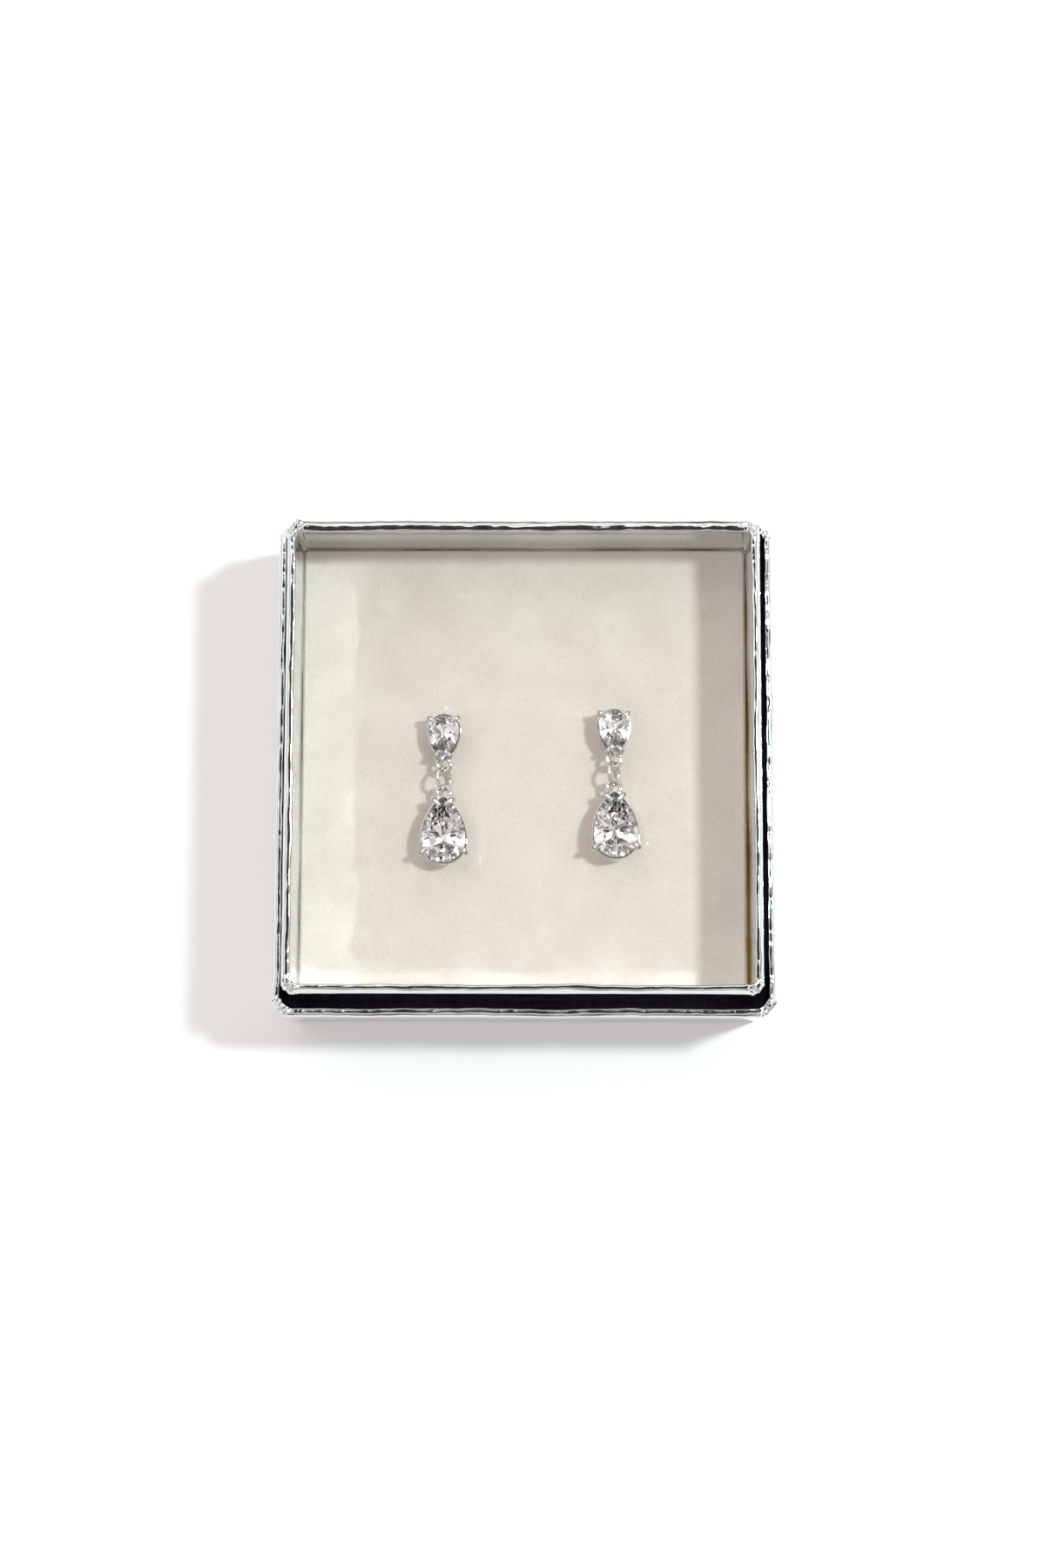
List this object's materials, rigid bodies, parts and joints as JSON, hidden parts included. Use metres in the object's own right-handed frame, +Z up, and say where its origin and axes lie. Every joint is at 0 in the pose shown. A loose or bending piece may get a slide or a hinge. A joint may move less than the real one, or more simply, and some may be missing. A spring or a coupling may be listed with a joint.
{
  "type": "pair of teardrop drop earrings on the pad of a foil-covered gift box",
  "caption": "Pear-stone stud with a larger pear-stone drop on a jump ring, as a pair, pinned to a flocked pad in a square two-piece foil gift box that stands in its own upturned lid.",
  "frame": {"origin": "middle of the lid's underside, where the box stands", "axes": "+Z up out of the open box, +Y from the drops towards the studs, +X towards the right earring"},
  "size_m": [0.09, 0.09, 0.0303],
  "materials": {
    "foil": "mirror silver metallised paper, creased at the rims and corners",
    "flock": "cream flocked card",
    "rhodium": "rhodium-plated brass, polished",
    "zirconia": "clear cubic zirconia, polished pear brilliant cut"
  },
  "bodies": {
    "root": {"lid": "foil", "tray": "foil", "pad": "flock", "stud_setting_left": "rhodium", "stud_setting_right": "rhodium", "jump_link_left": "rhodium", "jump_link_right": "rhodium", "drop_setting_left": "rhodium", "drop_setting_right": "rhodium", "stud_stone_left": "zirconia", "stud_stone_right": "zirconia", "drop_stone_left": "zirconia", "drop_stone_right": "zirconia"}
  },
  "joints": []
}
